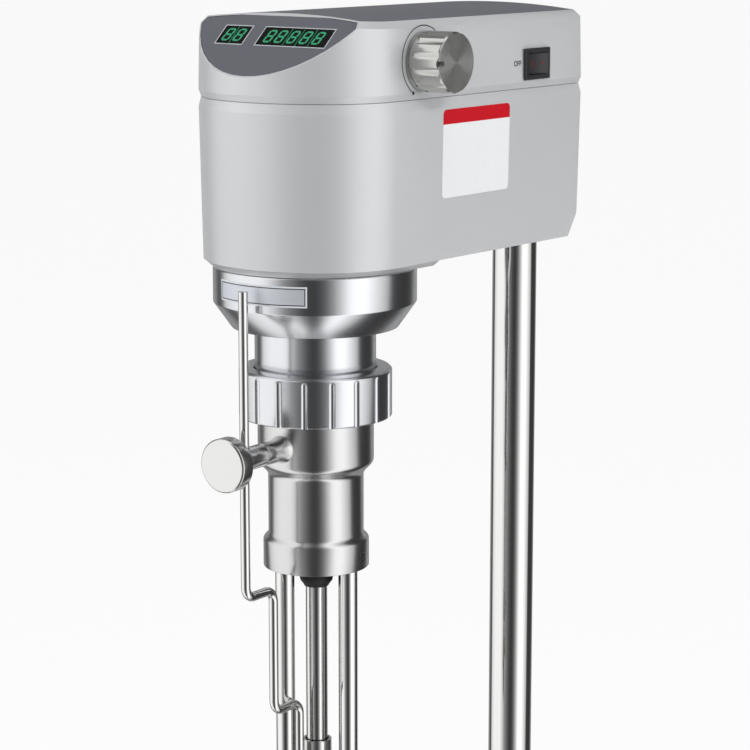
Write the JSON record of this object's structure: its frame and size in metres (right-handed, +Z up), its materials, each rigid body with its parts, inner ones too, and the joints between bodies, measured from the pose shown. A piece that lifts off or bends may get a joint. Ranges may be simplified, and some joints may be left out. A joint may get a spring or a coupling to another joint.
{
  "type": "rotor stator homogenizer",
  "caption": "Bench rotor stator homogenizer: a motor head that slides on a column, with display, speed knob and switch, over a rod-hung stator and rotor with a sliding baffle.",
  "frame": {"origin": "on the bench, under the middle of the base plate, level with the undersides of the feet", "axes": "+Z up along the column, -Y towards the display nose, +X towards the speed knob and the switch"},
  "size_m": [0.21, 0.34, 0.73],
  "materials": {
    "pale_grey_paint": "smooth satin powder coat",
    "polished_steel": "polished stainless steel",
    "brushed_steel": "turned and brushed stainless steel",
    "turned_aluminium": "turned, clear anodised",
    "black_rubber": "matt moulded rubber",
    "black_plastic": "moulded, fine texture",
    "bearing_bronze": "sintered bronze",
    "circuit_board": "solder mask over glass laminate",
    "slate_film": "printed overlay film",
    "display_glass": "clear window over a dark display"
  },
  "bodies": {
    "base": {"base_plate": "pale_grey_paint", "foot_front_left": "black_rubber", "foot_front_right": "black_rubber", "foot_rear_left": "black_rubber", "foot_rear_right": "black_rubber", "column_flange": "pale_grey_paint", "flange_screw_1": "brushed_steel", "flange_screw_2": "brushed_steel", "flange_screw_3": "brushed_steel", "flange_screw_4": "brushed_steel", "column": "polished_steel", "column_cap": "black_plastic"},
    "head": {"column_bracket": "turned_aluminium", "lower_column_bush": "bearing_bronze", "upper_column_bush": "bearing_bronze", "bracket_screw_lower": "brushed_steel", "bracket_screw_upper": "brushed_steel", "lower_housing": "pale_grey_paint", "top_cover": "pale_grey_paint", "display_panel": "slate_film", "current_window": "display_glass", "speed_window": "display_glass", "display_board": "circuit_board", "control_board": "circuit_board", "speed_potentiometer": "brushed_steel", "switch_bezel": "black_plastic", "power_inlet": "black_plastic", "motor_frame": "brushed_steel", "motor_end_cap": "turned_aluminium", "lower_motor_bearing": "polished_steel", "upper_motor_bearing": "polished_steel", "mounting_collar": "turned_aluminium", "bell_housing": "brushed_steel", "shaft_bearing": "polished_steel", "shaft_seal": "black_rubber", "set_screw": "brushed_steel", "support_rod_1": "polished_steel", "support_rod_2": "polished_steel", "support_rod_3": "polished_steel", "stator_holder": "polished_steel", "shaft_bush": "bearing_bronze", "stator": "polished_steel", "clamp_sleeve": "polished_steel"},
    "spindle": {"motor_armature": "brushed_steel", "cooling_fan": "black_plastic", "motor_coupling": "brushed_steel", "shaft_coupling": "brushed_steel", "drive_shaft": "polished_steel", "rotor": "polished_steel"},
    "union": {"union_ring": "turned_aluminium"},
    "knob": {"speed_knob": "black_plastic"},
    "switch": {"power_rocker": "black_plastic"},
    "lever": {"clamp_lever": "black_plastic"},
    "baffle": {"baffle_plate": "polished_steel", "baffle_rod": "polished_steel"},
    "rod_clamp": {"rod_clamp_knob": "polished_steel"}
  },
  "joints": [
    {"name": "head_height", "type": "slide", "parent": "base", "child": "head", "axis": [0, 0, 1], "range_m": [-0.13, 0]},
    {"name": "spindle_spin", "type": "hinge", "parent": "head", "child": "spindle", "pos_m": [0, -0.075, 0.4], "axis": [0, 0, 1], "continuous": true},
    {"name": "union_ring_turn", "type": "hinge", "parent": "head", "child": "union", "pos_m": [0, -0.075, 0.497], "axis": [0, 0, 1], "range_deg": [0, 360]},
    {"name": "speed_knob_turn", "type": "hinge", "parent": "head", "child": "knob", "pos_m": [0.082, -0.0565, 0.7019], "axis": [-1, 0, 0], "range_deg": [-60, 240]},
    {"name": "power_switch", "type": "hinge", "parent": "head", "child": "switch", "pos_m": [0.0698, 0.0608, 0.6945], "axis": [0, 0, 1], "range_deg": [0, 14]},
    {"name": "column_clamp", "type": "hinge", "parent": "head", "child": "lever", "pos_m": [-0.0323, 0.14, 0.6423], "axis": [1, 0, 0], "range_deg": [0, 80]},
    {"name": "baffle_height", "type": "slide", "parent": "head", "child": "baffle", "axis": [0, 0, 1], "range_m": [-0.034, 0.07]},
    {"name": "rod_clamp_turn", "type": "hinge", "parent": "head", "child": "rod_clamp", "pos_m": [0.00408, -0.16841, 0.465], "axis": [0.0436, -0.999, 0], "range_deg": [0, 180]}
  ]
}
